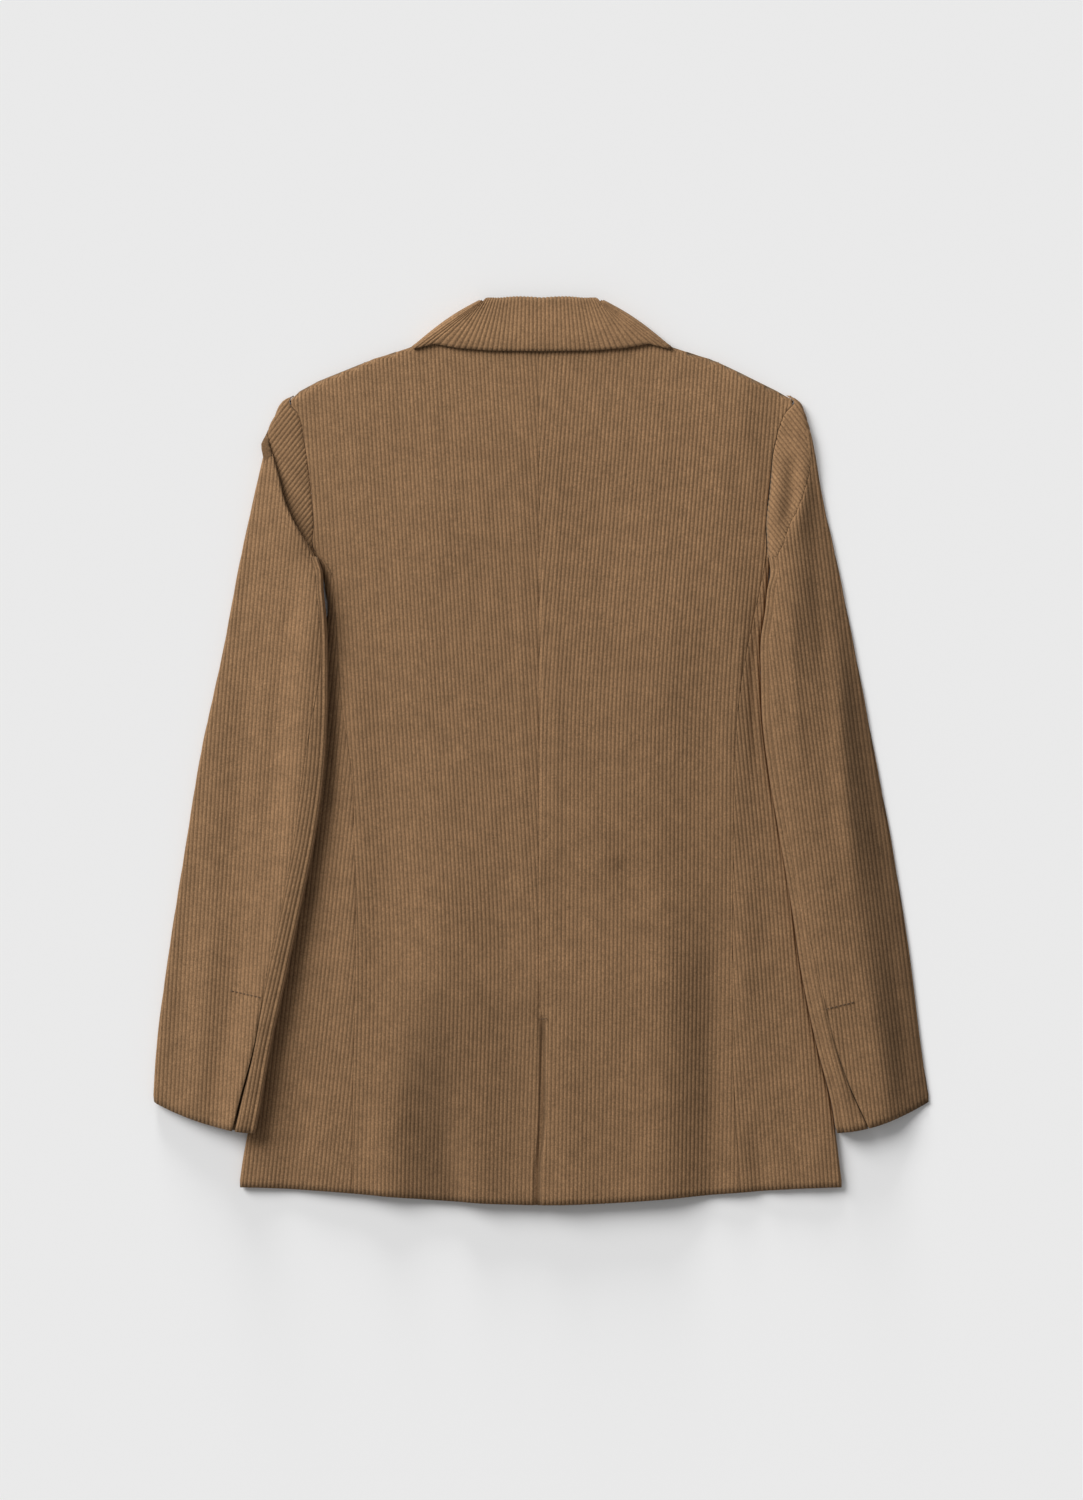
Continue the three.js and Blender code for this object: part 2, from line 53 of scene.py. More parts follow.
FRONT_RISE = 3.3            # how far the lapels and buttons lift the fronts
OVERLAP = 75.0              # how far each front passes the centre
LAPEL_LEAN = 0.26
CAP_SLANT = 0.78            # keeps the wales' true spacing where they cross the cap at a slant
BREAK_Y = 40.0              # where the lapels end
ARMPIT_Y = 148.0
ARMHOLE_LOW_Y = 158.0       # lowest row of the sleeve's upper part
NECK_Y = 337.0
HEM_Y = -358.0
HEM_DROP = 14.0             # how much lower the hem is at the centre than at the sides
VENT_TOP_Y = -211.0
CUFF_VENT_Y = -196.0
CUFF_LOW_Y = -313.0
UNDERLAP = 36.0             # the left back passes this far under the right one at the vent
STAND_TOP_Y = 366.0
RIBS = 4000                 # ribs that have a height of their own, half of them below 0
ROLL_TOP = (51.0, 369.0)
GORGE = (19.0, 285.0)
PEAK_Y = 318.0
ROW = 5.5                   # spacing of the meshes' rows
CAMERA_HEIGHT = 3.417       # metres
FLOOR_SIZE = 12.0           # metres
FLOOR_Z = -0.0002           # metres
rng = np.random.default_rng(7)

BACK = {
    "y": [337, 331.5, 327.5, 323, 314, 304, 294, 287, 275, 251, 215, 185, 162, 148, 114, 64, 27, -10,
          -75, -190, -270, -366],
    "left": [90, 103, 114, 130, 152, 178, 198, 206, 199, 194, 189, 186.5, 185.5, 173.5, 169, 166, 162,
             156, 153, 152, 154, 155],
    "right": [90, 103, 114, 130, 152, 172, 193, 206, 199, 191, 186.5, 183.5, 184, 182, 175, 165, 160,
              158, 157, 156, 157, 163],
}
SIDES = {
    "y": [164, 148, 130, 113, 92, 59, 25, -8, -50, -104, -175, -243, -287, -336, -366],
    "left": [190, 180.6, 177.2, 175.2, 182, 186, 189, 190, 193, 201, 214, 229, 236, 245, 249],
    "right": [189, 187, 185, 183.3, 180, 180, 181, 185, 192, 202, 212, 226, 237, 244, 248],
    "front_left": [185, 174, 166, 159, 153, 149, 147, 147, 148, 152, 158, 164, 167, 170, 172],
    "front_right": [183.6, 180, 170, 161, 153, 149, 147, 147, 148, 152, 158, 164, 167, 170, 172],
}
SLEEVE_OUTER = {
    "y": [291, 289.5, 287.5, 285, 274, 264, 245, 215, 156, 77, -1, -80, -169, -247, -289],
    "left": [203, 206.5, 210.5, 213, 219, 224, 227.3, 234, 247, 262, 279, 292, 306, 316, 318.5],
    "right": [203, 206, 209.5, 212, 217, 220, 224, 229, 242, 258, 273, 288, 302, 312, 318.5],
}
SLEEVE_INNER = {
    "y": [158, 148, 130, 113, 92, 59, 25, -16, -69, -129, -183, -248, -285, -314],
    "left": [183, 179.2, 177.8, 175.8, 174.5, 174, 174.5, 177, 184, 196, 207.5, 221.5, 228, 233.5],
    "right": [185.5, 187.2, 185.2, 183.6, 180.4, 180.4, 181.4, 186.4, 195.3, 205.6, 213.6, 227.6,
              237.2, 242],
    "elbow_left": [5.5, 5.5, 5.5, 5.5, 5.5, 7, 13, 17, 17, 16, 16, 14, 18, 20],
    "elbow_right": [5.5, 5.5, 5.5, 5.5, 5.5, 5.5, 5.5, 5.5, 5.5, 7, 12, 14, 18, 26],
}
LIFT = {
    "y": [337, 290, 260, 215, 100, 0, -372],
    "full": [158, 158, 145, 134, 107, 86, 80],
    "none": [204, 204, 194, 186, 165, 142, 136],
}
# Where the sleeve leaves its cap: a tuck on the left, a soft ridge on the right
CAP_EDGE = {
    "y": [268, 259, 226, 203, 182, 166, 157],
    "left": [231, 226, 215, 209, 199, 189, 184],
    "right": [228, 224, 219.5, 212, 202, 196.5, 191],
}
# Lean of the wales: how far they move out for each millimetre up
LEAN = {
    "y": [372, 290, 60, -10, -120, -200, -372],
    "back_left": [0.063, 0.063, 0.063, 0.063, 0.05, -0.018, -0.018],
    "back_right": [0.06, 0.075, 0.06, 0.012, 0.008, 0.014, 0.017],
    "side_left": [-0.105] * 7,
    "side_right": [-0.08, -0.08, -0.09, -0.1, -0.08, -0.07, -0.07],
    "sleeve_left": [-0.1, -0.1, -0.08, -0.06, -0.06, -0.055, -0.055],
    "sleeve_right": [-0.12, -0.12, -0.13, -0.135, -0.125, -0.12, -0.12],
    "front": [0.0] * 7,
    "cap": [-0.8] * 7,
}
# Folds, each along a line, with a width and a height (a trough is below 0)
FOLDS = [
    ("body", (177, 150), (174, -50), 5, -1.6),
    ("body", (164, 120), (158, 0), 3.5, 0.8),
    ("body", (-124, -250), (-130, -440), 15, 2.8),
    ("body", (-96, -250), (-90, -440), 20, -5.8),
    ("body", (-78, -280), (-64, -440), 12, -4.0),
    ("body", (-80, -50), (-84, -300), 26, 2.0),
    ("body", (-34, -50), (-26, -440), 20, -2.2),
    ("body", (22, -190), (18, -420), 14, 1.2),
    ("body", (100, -90), (104, -440), 20, 2.4),
    ("body", (138, -110), (142, -440), 15, -3.4),
    ("body", (164, -90), (170, -230), 10, 1.8),
    ("body", (24, -36), (66, -112), 15, 2.0),
    ("body", (56, -80), (90, -134), 11, -1.8),
    ("body", (4, -84), (30, -160), 14, -1.6),
    ("body", (-150, 110), (-146, -60), 14, 1.6),
    ("body", (-176, 80), (-172, -90), 9, -1.5),
    ("body", (-150, -40), (-156, -250), 12, 1.4),
    ("body", (-60, 60), (-110, -20), 24, -1.2),
    ("body", (40, 250), (56, 90), 30, -1.2),
    ("body", (110, 120), (96, 20), 22, 1.0),
    ("body", (-120, 220), (-60, 140), 26, 1.2),
    ("body", (-70, 300), (-110, 200), 22, -0.9),
    ("body", (90, 290), (160, 236), 20, -0.6),
    ("body", (160, 300), (182, 180), 12, 1.2),
    ("body", (174, -296), (186, -420), 9, -2.2),
    ("body", (-196, -230), (-210, -420), 15, -1.4),
    ("body", (222, -300), (232, -420), 12, 1.2),
    ("body", (12, 350), (12, -210), 4, 0.45),
    ("body", (-16, 350), (-16, -210), 4, 0.45),
    ("sleeve_right", (206, 250), (200, 170), 6, -2.2),
    ("sleeve_right", (224, 262), (206, 160), 7, 2.4),
    ("sleeve_right", (202, 150), (212, -30), 6, 1.6),
    ("sleeve_right", (222, 215), (230, 40), 8, -2.0),
    ("sleeve_right", (240, 110), (257, -140), 9, 4.2),
    ("sleeve_right", (268, 60), (286, -150), 11, -3.2),
    ("sleeve_right", (280, -120), (304, -300), 11, -2.4),
    ("sleeve_right", (262, -160), (290, -330), 10, 3.0),
    ("sleeve_right", (238, -205), (266, -330), 7, -1.8),
    ("sleeve_right", (250, 210), (262, 110), 9, 1.4),
    ("sleeve_left", (-214, 150), (-226, -10), 10, 1.4),
    ("sleeve_left", (-236, 100), (-262, -170), 12, -2.2),
    ("sleeve_left", (-222, -40), (-246, -210), 8, 1.8),
    ("sleeve_left", (-262, -90), (-286, -330), 11, 2.4),
    ("sleeve_left", (-290, -110), (-304, -300), 8, -1.0),
    ("sleeve_left", (-256, 190), (-266, 60), 9, 1.2),
    ("sleeve_left", (-240, 220), (-252, 60), 10, -1.2),
    # Painted light, with no height: these lines make the cloth's colour darker (painted shade, below 0)
    # or paler (painted highlight, above 0) where slopes and folds turn from or towards the light
    ("painted_light", (226, 300), (352, -520), 25, -0.42),
    ("painted_light", (-92, -150), (-84, -500), 25, -0.28),
    ("painted_light", (128, -40), (138, -460), 20, -0.11),
    ("painted_light", (-32, -80), (-26, -500), 22, -0.1),
    ("painted_light", (210, 360), (200, 90), 13, 0.26),
    ("painted_light", (-330, 344), (330, 344), 14, 0.2),
    ("painted_light", (150, 480), (120, 60), 46, 0.1),
]


# ---------- tables, folds and heights ----------

def name_of(side):
    return "left" if side < 0 else "right"


def smooth(t):
    t = np.clip(t, 0.0, 1.0)
    return t * t * (3 - 2 * t)


def read(table, column, y):
    """One column of a table at the heights y, by a cubic through its rows."""
    ys = np.array(table["y"][::-1], float)
    values = np.array(table[column][::-1], float)
    slopes = np.gradient(values, ys)
    y = np.clip(y, ys[0], ys[-1])
    k = np.clip(np.searchsorted(ys, y) - 1, 0, len(ys) - 2)
    span = ys[k + 1] - ys[k]
    t = (y - ys[k]) / span
    blend = t * t * (3 - 2 * t)
    curve = t * (1 - t) ** 2 * span * slopes[k] - t * t * (1 - t) * span * slopes[k + 1]
    return values[k] + (values[k + 1] - values[k]) * blend + curve


def folds(on, x, y):
    total = np.zeros(np.broadcast(x, y).shape)
    for name, (x0, y0), (x1, y1), width, height in FOLDS:
        if name != on:
            continue
        dx, dy = x1 - x0, y1 - y0
        length = math.hypot(dx, dy)
        along = ((x - x0) * dx + (y - y0) * dy) / length**2
        away = ((x - x0) * dy - (y - y0) * dx) / length
        away = away + 0.12 * width * np.sin(along * 7 + x0)
        ends = smooth(along * 3) * smooth((1 - along) * 3)
        total = total + height * ends * np.exp(-((away / width) ** 2))
    return total


def lifted(x, y):
    """1 where the lapels and buttons lift the fronts, falling to 0 towards the sides."""
    full = read(LIFT, "full", y)
    none = read(LIFT, "none", y)
    return smooth((none - np.abs(x)) / (none - full)) * smooth((y + 250) / 70)


def doubled(x, y):
    """1 where the two fronts lie over each other, falling to 0 beyond."""
    return smooth((140 - np.abs(x)) / 55) * smooth((305 - y) / 60)


def vent_edge(y):
    """Where the right back's edge runs: the centre seam, then the vent."""
    return -2.0 + 2.9 * smooth((VENT_TOP_Y - y) / 12) - 4.2 * smooth((-290 - y) / 50)


def loft(x, y, side):
    """How far the back stands off the fronts beside the vent."""
    down = (CLOTH + REST_GAP) * smooth((-150 - y) / 56)
    if side > 0:
        return down * smooth((140 - x) / 80)
    below = smooth((VENT_TOP_Y - y) / 12)
    rise = 0.25 * smooth((-6 - x) / 60) + 0.75 * smooth((vent_edge(y) - 0.6 - x) / 3.2)
    return down * (1 - below * (1 - rise)) * smooth((x + 150) / 60)


def front_bottom(x, y, side):
    """Height of a front's underside: the left front lies over the right one."""
    over = (CLOTH + REST_GAP) * doubled(x, y) if side < 0 else 0
    return FRONT_RISE * lifted(x, y) + over


def puff(x, y):
    """Air between the back and the fronts: the back stands a little proud of what is under it."""
    waist = smooth((170 - y) / 50) * smooth((y + 110) / 70) * (x > 0)
    across = smooth((205 - np.abs(x)) / 70) * (1 - waist) + 1.3 * smooth((188 - np.abs(x)) / 38) * waist
    return 3.6 * across * smooth((338 - y) / 70) * (0.55 + 0.45 * smooth((y + 366) / 160))


def back_top(x, y, side):
    bottom = SIDE_HEIGHT - CLOTH + 1.7 * lifted(x, y) + (CLOTH + REST_GAP) * doubled(x, y)
    return bottom + CLOTH + loft(x, y, side) + puff(x, y) + folds("body", x, y)


def roll_out(y):
    """How far out the lapel's roll line runs."""
    return ROLL_TOP[0] - (ROLL_TOP[1] - y) * (ROLL_TOP[0] + OVERLAP) / (ROLL_TOP[1] - BREAK_Y)


# ---------- cloth ----------

RIB_PHASE = rng.uniform(0, 2 * math.pi, RIBS)
RIB_SIZE = rng.normal(0, 1, RIBS)


def wales(u, y, height):
    """Rounded ribs with narrow grooves, a little uneven in height from rib to rib and along each."""
    phase = u / PITCH
    rib = np.abs(np.sin(np.pi * phase)) ** 0.7
    number = np.floor(phase).astype(int) + RIBS // 2
    uneven = 0.05 * RIB_SIZE[number] + 0.05 * np.sin(y / 17.0 + RIB_PHASE[number])
    return height * rib * (1 + uneven), rib


def drawn_in(depth, distance):
    """How deep the cloth is drawn in at a distance from an edge that is drawn in by depth."""
    return depth * (1 - smooth(distance / (1.4 + depth)))


class Strip:
    """A closed shell of cloth whose mesh columns follow the wales and stop at its edges.

    rows is a list of (y, path, u): path is N points (out, y, z) in order across the piece, left to
    right as it is seen from outside on the right-hand side, and u is the cloth's own coordinate.
    dips says how deep the cloth is drawn in along its first and last edge, at each y, and end_dips
    at its top and bottom. thin gives the share of the wall's thickness at each y."""

    def __init__(self, rows, side, per_wale=5, wall=1.5, height=WALE_HEIGHT, dips=None,
                 end_dips=(0.0, 0.0), thin=None):
        self.side = side
        low = min(u[0] for _, _, u in rows)
        high = max(u[-1] for _, _, u in rows)
        step = PITCH / per_wale
        columns = np.arange(math.floor(low / step), math.ceil(high / step) + 1) * step
        count = len(columns)
        places, along, index = [], [], []
        ribs = np.zeros((len(rows), count))
        lifts = np.zeros((len(rows), count))
        drawn = np.zeros((len(rows), count))
        self.area = 0.0
        self.widest = 0.0
        top_y, last_y = rows[0][0], rows[-1][0]
        before = 0.0
        for i, (y, path, u) in enumerate(rows):
            at = np.clip(columns, u[0], u[-1])
            places.append(np.stack([np.interp(at, u, path[:, k]) for k in range(3)], axis=1))
            tangent = np.gradient(path, u, axis=0)
            along.append(np.stack([np.interp(at, u, tangent[:, k]) for k in range(3)], axis=1))
            lifts[i], ribs[i] = wales(at, y, height)
            first_dip, last_dip = dips(y) if dips else (0.3, 0.3)
            dip = drawn_in(first_dip, at - u[0]) + drawn_in(last_dip, u[-1] - at)
            dip = dip + end_dips[0] * (1 - smooth(abs(top_y - y) / END_REACH))
            drawn[i] = dip + end_dips[1] * (1 - smooth(abs(y - last_y) / END_REACH))
            first = max(int(np.searchsorted(columns, u[0], side="right") - 1), 0)
            last = min(int(np.searchsorted(columns, u[-1], side="left")), count - 1)
            index.append(np.clip(np.arange(count), first, last) + i * count)
            width = u[-1] - u[0]
            self.widest = max(self.widest, width)
            self.area += 0.5 * (width + before) * abs(rows[i - 1][0] - y) if i else 0.0
            before = width
        self.length = abs(top_y - last_y)
        place = np.array(places)
        normal = np.cross(np.gradient(place, axis=0), np.array(along))
        normal /= np.linalg.norm(normal, axis=2, keepdims=True) + 1e-9
        outer = place + normal * (lifts - GROOVE_DEPTH - drawn)[:, :, None]
        share = np.array([thin(y) if thin else 1.0 for y, _, _ in rows])
        inner = place - normal * ((GROOVE_DEPTH + wall) * share)[:, None, None]
        self.vertices = np.concatenate([outer.reshape(-1, 3), inner.reshape(-1, 3)])
        self.vertices[:, 0] *= side
        # Cloth drawn in at seams, edges and the vent is made darker here: painted shade in the crevices
        shade = ribs * (1 - 0.9 * smooth((drawn - 0.5) / 0.7))
        self.ribs = np.concatenate([shade.ravel(), np.zeros(shade.size)])
        self.faces(np.array(index))

    def faces(self, index):
        a, b = index[:-1, :-1].ravel(), index[:-1, 1:].ravel()
        c, d = index[1:, :-1].ravel(), index[1:, 1:].ravel()
        outside = np.concatenate([np.stack([a, c, d], 1), np.stack([a, d, b], 1)])
        half = len(self.vertices) // 2
        inside = outside[:, ::-1] + half
        ring = np.concatenate([index[:, 0], index[-1, 1:], index[::-1, -1][1:], index[0, ::-1][1:-1]])
        after = np.roll(ring, -1)
        rim = np.concatenate([
            np.stack([ring, ring + half, after + half], 1),
            np.stack([ring, after + half, after], 1),
        ])
        every = np.concatenate([outside, inside, rim])
        real = (every[:, 0] != every[:, 1]) & (every[:, 1] != every[:, 2]) & (every[:, 0] != every[:, 2])
        every = every[real]
        if self.side < 0:
            every = every[:, ::-1]
        used, numbers = np.unique(every, return_inverse=True)
        self.vertices = self.vertices[used]
        self.ribs = self.ribs[used]
        self.triangles = numbers.reshape(-1, 3)


def mesh_object(name, vertices, triangles, ribs, material):
    mesh = bpy.data.meshes.new(name)
    mesh.vertices.add(len(vertices))
    mesh.vertices.foreach_set("co", (vertices * MM).astype(np.float32).ravel())
    mesh.loops.add(len(triangles) * 3)
    mesh.loops.foreach_set("vertex_index", triangles.astype(np.int32).ravel())
    mesh.polygons.add(len(triangles))
    mesh.polygons.foreach_set("loop_start", np.arange(len(triangles), dtype=np.int32) * 3)
    mesh.update(calc_edges=True)
    mesh.validate()
    mesh.polygons.foreach_set("use_smooth", np.ones(len(mesh.polygons), dtype=bool))
    # Per point: rib colour and the painted shade of drawn-in edges
    layer = mesh.attributes.new("wale_and_painted_shade", "FLOAT", "POINT")
    layer.data.foreach_set("value", ribs.astype(np.float32))
    # A brightness factor per point: painted shade and painted highlight from the painted-light lines of
    # FOLDS
    painted_light_layer = mesh.attributes.new("painted_light", "FLOAT", "POINT")
    painted_light_layer.data.foreach_set("value", (1 + folds("painted_light", vertices[:, 0], vertices[:, 1])).astype(np.float32))
    mesh.materials.append(material)
    piece = bpy.data.objects.new(name, mesh)
    bpy.context.collection.objects.link(piece)
    return piece


def joined(parts):
    """Several (vertices, triangles) as one."""
    start = 0
    vertices, triangles = [], []
    for points, faces in parts:
        vertices.append(points)
        triangles.append(faces + start)
        start += len(points)
    return np.concatenate(vertices), np.concatenate(triangles)


def garment_piece(name, node, strips, material):
    """Joins strips into one object that stands for a CAD node, parents it to the root and hides that
    node.
    """
    vertices, triangles = joined([(strip.vertices, strip.triangles) for strip in strips])
    ribs = np.concatenate([strip.ribs for strip in strips])
    piece = mesh_object(name, vertices, triangles, ribs, material)
    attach(piece, "root")
    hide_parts(node)
    return piece


def drift(column, y):
    """How far a wale has moved out at height y, from the lean in its table column."""
    ys = np.linspace(-372, 372, 200)
    lean = read(LEAN, column, ys)
    total = np.concatenate([[0], np.cumsum((lean[1:] + lean[:-1]) / 2 * np.diff(ys))])
    return np.interp(y, ys, total)


def heights(top, bottom, spacing=ROW):
    return np.linspace(top, bottom, max(int(abs(top - bottom) / spacing), 2) + 1)


def plan_u(path, column):
    """Fabric coordinate of a flat row: the wale's place in plan."""
    return path[:, 0] - drift(column, path[:, 1])


def wrapped_u(path, column, top_count):
    """Fabric coordinate of a row that turns round an edge: plan on its top run, then length."""
    top = plan_u(path[:top_count], column)
    steps = np.linalg.norm(np.diff(path[top_count - 1:], axis=0), axis=1)
    return np.concatenate([top, top[-1] + np.cumsum(steps)])


# ---------- body ----------

def hem_drop(out, y):
    """How far a row is drawn down towards the centre, fully so at the hem."""
    return HEM_DROP * (1 - smooth(np.abs(out) / 260)) * smooth((-260 - y) / 98)


def back_row(side, y):
    name = name_of(side)
    outer = float(read(BACK, name, y))
    below = float(smooth((VENT_TOP_Y - y) / 12))
    if side > 0:
        inner = float(vent_edge(y))
    else:
        inner = 2.05 - (UNDERLAP + 2) * below
    shoulder = float(smooth((y - 284) / 6))
    run = 1.2 + 10 * shoulder
    out = np.concatenate([
        np.linspace(inner, outer - run, 150),
        outer - run + run * np.sin(np.linspace(0.1, math.pi / 2, 10)),
    ])
    z = back_top(side * out, y, side)
    seat = front_bottom(side * out, y, side) + CLOTH + 1.0
    turn = np.clip((out - (outer - run)) / run, 0, 1)
    z = z - shoulder * (z - seat) * (1 - np.sqrt(1 - turn**2)) * 0.9
    kink = 0.9 * math.exp(-(((y - VENT_TOP_Y + 1) / 9) ** 2)) * np.exp(-((out / 7) ** 2))
    path = np.stack([out, y - hem_drop(out, y), z - kink], axis=1)
    return y, path, plan_u(path, f"back_{name}")


def make_back(side, cloth):
    name = name_of(side)
    rows = [back_row(side, y) for y in heights(NECK_Y, HEM_Y)]

    def dips(y):
        # The vent's deep dip draws the cloth in and, through the wale colour, paints a dark line along
        # it: painted shade in the gap
        vent = float(smooth((VENT_TOP_Y - 1 - y) / 5)) * (2.6 if side > 0 else 0.0)
        armhole = 0.5 if side < 0 and y < 280 else 0.12
        return 0.35 + vent, 0.2 + (armhole - 0.2) * float(smooth((y - 160) / 20))

    strip = Strip(rows, side, dips=dips, end_dips=(0.0, 0.8))
    return garment_piece(f"cloth_back_{name}", f"back_{name}", [strip], cloth)


def side_row(side, y):
    name = name_of(side)
    seam = float(read(BACK, name, y)) + 0.1
    edge = float(read(SIDES, name, y))
    front = float(read(SIDES, f"front_{name}", y))
    radius = SIDE_HEIGHT / 2
    reach = min(radius, (edge - seam) * 0.7)
    top = np.linspace(seam, edge - reach, 60)
    angle = np.linspace(0, math.pi, 17)[1:-1]
    under = np.linspace(edge - reach, front, 30)
    fade = smooth((edge - reach - top) / 8) if edge - seam > 12 else smooth((edge - reach - top) / 2)
    top_z = SIDE_HEIGHT + (back_top(side * top, y, side) - SIDE_HEIGHT) * fade
    out = np.concatenate([top, edge - reach + reach * np.sin(angle), under])
    z = np.concatenate([top_z, radius + radius * np.cos(angle), front_bottom(side * under, y, 1)])
    path = np.stack([out, y - hem_drop(out, y), z], axis=1)
    return y, path, wrapped_u(path, f"side_{name}", len(top))


def make_side(side, cloth):
    name = name_of(side)
    rows = [side_row(side, y) for y in heights(ARMPIT_Y + 14, HEM_Y)]
    strip = Strip(rows, side, end_dips=(0.3, 0.8))
    return garment_piece(f"cloth_side_{name}", f"side_{name}", [strip], cloth)


def front_row(side, y):
    name = name_of(side)
    inset = 6 * float(smooth((y - GORGE[1]) / 20))
    inner = float(roll_out(y)) + inset if y > BREAK_Y else -OVERLAP
    outer = float(read(BACK, name, y)) if y > ARMPIT_Y else float(read(SIDES, f"front_{name}", y)) - 0.4
    out = np.linspace(outer, inner, 120)
    path = np.stack([out, y - hem_drop(out, y), front_bottom(side * out, y, side)], axis=1)
    return y, path, -plan_u(path, "front")


def make_front(side, cloth):
    name = name_of(side)
    rows = [front_row(side, y) for y in heights(326, HEM_Y + 4, 8)]
    strip = Strip(rows, side, per_wale=4, dips=lambda y: (0.3, 0.9), end_dips=(0.0, 0.8))
    return garment_piece(f"cloth_front_{name}", f"front_{name}", [strip], cloth)


LAPEL_EDGE = {"y": [320, 250, 180, 100, 60, 42], "out": [146, 128, 103, 46, -22, -68]}


def lapel_rows(side):
    under = side < 0
    lowest = 118.0 if under else BREAK_Y + 6
    rows = []
    for v in np.linspace(0, 1, 60):
        inner_y = GORGE[1] - 1 + (lowest - GORGE[1] + 1) * v
        end_y = lowest + (6 if under else 3)
        outer_y = PEAK_Y + (end_y - PEAK_Y) * v
        cover = float(roll_out(inner_y))
        inner = max(cover, 1 - cover) if under else cover
        outer = float(read(LAPEL_EDGE, "out", outer_y))
        t = np.linspace(0, 1, 50)
        dip = np.maximum(7 * (1 - float(smooth(v * 9))) * (1 - np.abs(t - 0.6) / 0.6), 0)
        out = outer + (inner - outer) * t
        y = outer_y + (inner_y - outer_y) * t - dip
        path = np.stack([out, y, np.zeros(50)], axis=1)
        rows.append(((outer_y + inner_y) / 2, path, -(out - LAPEL_LEAN * y)))
    return rows


def make_lapel(side, cloth):
    name = name_of(side)
    strip = Strip(lapel_rows(side), side, per_wale=4, wall=1.9, dips=lambda y: (0.9, 0.5),
                  end_dips=(0.8, 0.3))
    return garment_piece(f"cloth_lapel_{name}", f"lapel_{name}", [strip], cloth)


# ---------- sleeves ----------

def cuff_tilt(y):
    return 25 * float(smooth((40 - y) / 354))


def cuff_vent(y):
    """0 above the cuff vents, rising to 1 at the cuffs."""
    return float(smooth((CUFF_VENT_Y - 4 - y) / 110))


def sleeve_base(out, y, side):
    """Height of a sleeve's underside: the left one rests on the body's side fold."""
    if side > 0:
        return np.zeros(np.shape(out))
    edge = read(SIDES, "left", np.minimum(y, ARMPIT_Y))
    return (SIDE_HEIGHT + REST_GAP + 0.6) * smooth((edge + 34 - out) / 30) * smooth((160 - y) / 46)


def row_frame(side, y):
    """Inner and outer edge of a sleeve row, and the row's y at its outer edge."""
    name = name_of(side)
    if y > ARMHOLE_LOW_Y:
        inner = float(read(BACK, name, y)) + 0.4
    else:
        inner = float(read(SLEEVE_INNER, name, y))
    outer_y = y + cuff_tilt(y)
    outer = float(read(SLEEVE_OUTER, name, outer_y))
    return inner, outer, outer_y


def row_line(side, y, out):
    """The y of a sleeve row's points: it rises towards its outer edge and bows down near the cuff."""
    inner, outer, outer_y = row_frame(side, y)
    place = (out - inner) / (outer - inner)
    bow = 5 * cuff_vent(y) * 4 * place * (1 - place)
    return y + (outer_y - y) * place - bow


def sleeve_top(side, y, out):
    """Top of a sleeve at one row: fullest near its inner edge, with its folds and the tuck's rise."""
    name = name_of(side)
    inner, outer, _ = row_frame(side, y)
    line = row_line(side, y, out)
    near, far = out - inner, outer - out
    place = np.clip(near / (outer - inner), 0, 1)
    grown = float(smooth((262 - y) / 70))
    if side < 0:
        crown = 6.5 * grown * np.sin(math.pi * place**0.55) ** 0.9
        crown = crown + 2.2 * grown * (1 - smooth(near / 45))
    else:
        crown = 10.5 * grown * np.sin(math.pi * place**0.42)
    edges = smooth((near - 1) / 14) * smooth((far - 1) / 14)
    body = SIDE_HEIGHT + crown + edges * folds(f"sleeve_{name}", side * out, line)
    if side > 0:
        body = body - 4.6 * grown * smooth(1 - far / 46)
    else:
        tuck = float(read(CAP_EDGE, "left", y)) if y > ARMHOLE_LOW_Y - 1 else inner
        fade = float(smooth((262 - y) / 40)) * float(smooth((y - 60) / 90))
        body = body + 3.0 * fade * smooth((tuck + 60 - out) / 55) * smooth((out - tuck + 5) / 5)
    return body + sleeve_base(out, line, side)


def sleeve_path(side, y, start):
    """A top sleeve's row from start, over the top, round the outer edge and back to the inseam."""
    inner, outer, _ = row_frame(side, y)
    turn = min(EDGE, (outer - start) * 0.6)
    top = np.linspace(start, outer - turn, 90)
    top_z = sleeve_top(side, y, top)
    angle = np.linspace(0, math.pi, 17)[1:-1]
    turned = outer - turn + turn * np.sin(angle)
    turned_z = top_z[-1] * (1 + np.cos(angle)) / 2
    inseam = inner + (SLEEVE_INSEAM * float(smooth((ARMPIT_Y + 12 - y) / 28)) if y < 160 else 0.2)
    under = np.linspace(outer - turn, inseam, 40)
    out = np.concatenate([top, turned, under])
    line = row_line(side, y, out)
    z = np.concatenate([top_z, turned_z, sleeve_base(under, line[-40:], side)])
    return np.stack([out, line, z], axis=1), len(top)


def top_sleeve_row(side, y):
    name = name_of(side)
    inner, outer, _ = row_frame(side, y)
    if y > ARMHOLE_LOW_Y - 1:
        start = min(float(read(CAP_EDGE, name, y)), outer - EDGE - 1)
        if side < 0:
            start = start + (outer - 1.5 - start) * (1 - emerged(y))
    else:
        start = inner + float(read(SLEEVE_INNER, f"elbow_{name}", y))
    path, top_count = sleeve_path(side, y, start)
    if side < 0 and y > ARMHOLE_LOW_Y - 1:
        path[:, 2] *= 0.5 + 0.5 * emerged(y)
    u = wrapped_u(path, f"sleeve_{name}", top_count)
    if side < 0 and y > ARMHOLE_LOW_Y - 1:
        return y, *tucked(path, u, emerged(y))
    return y, path, u


def emerged(y):
    """0 at the top of the tuck, where the fold leaves the cap's outline, and 1 below it."""
    return float(smooth((263 - y) / 16))


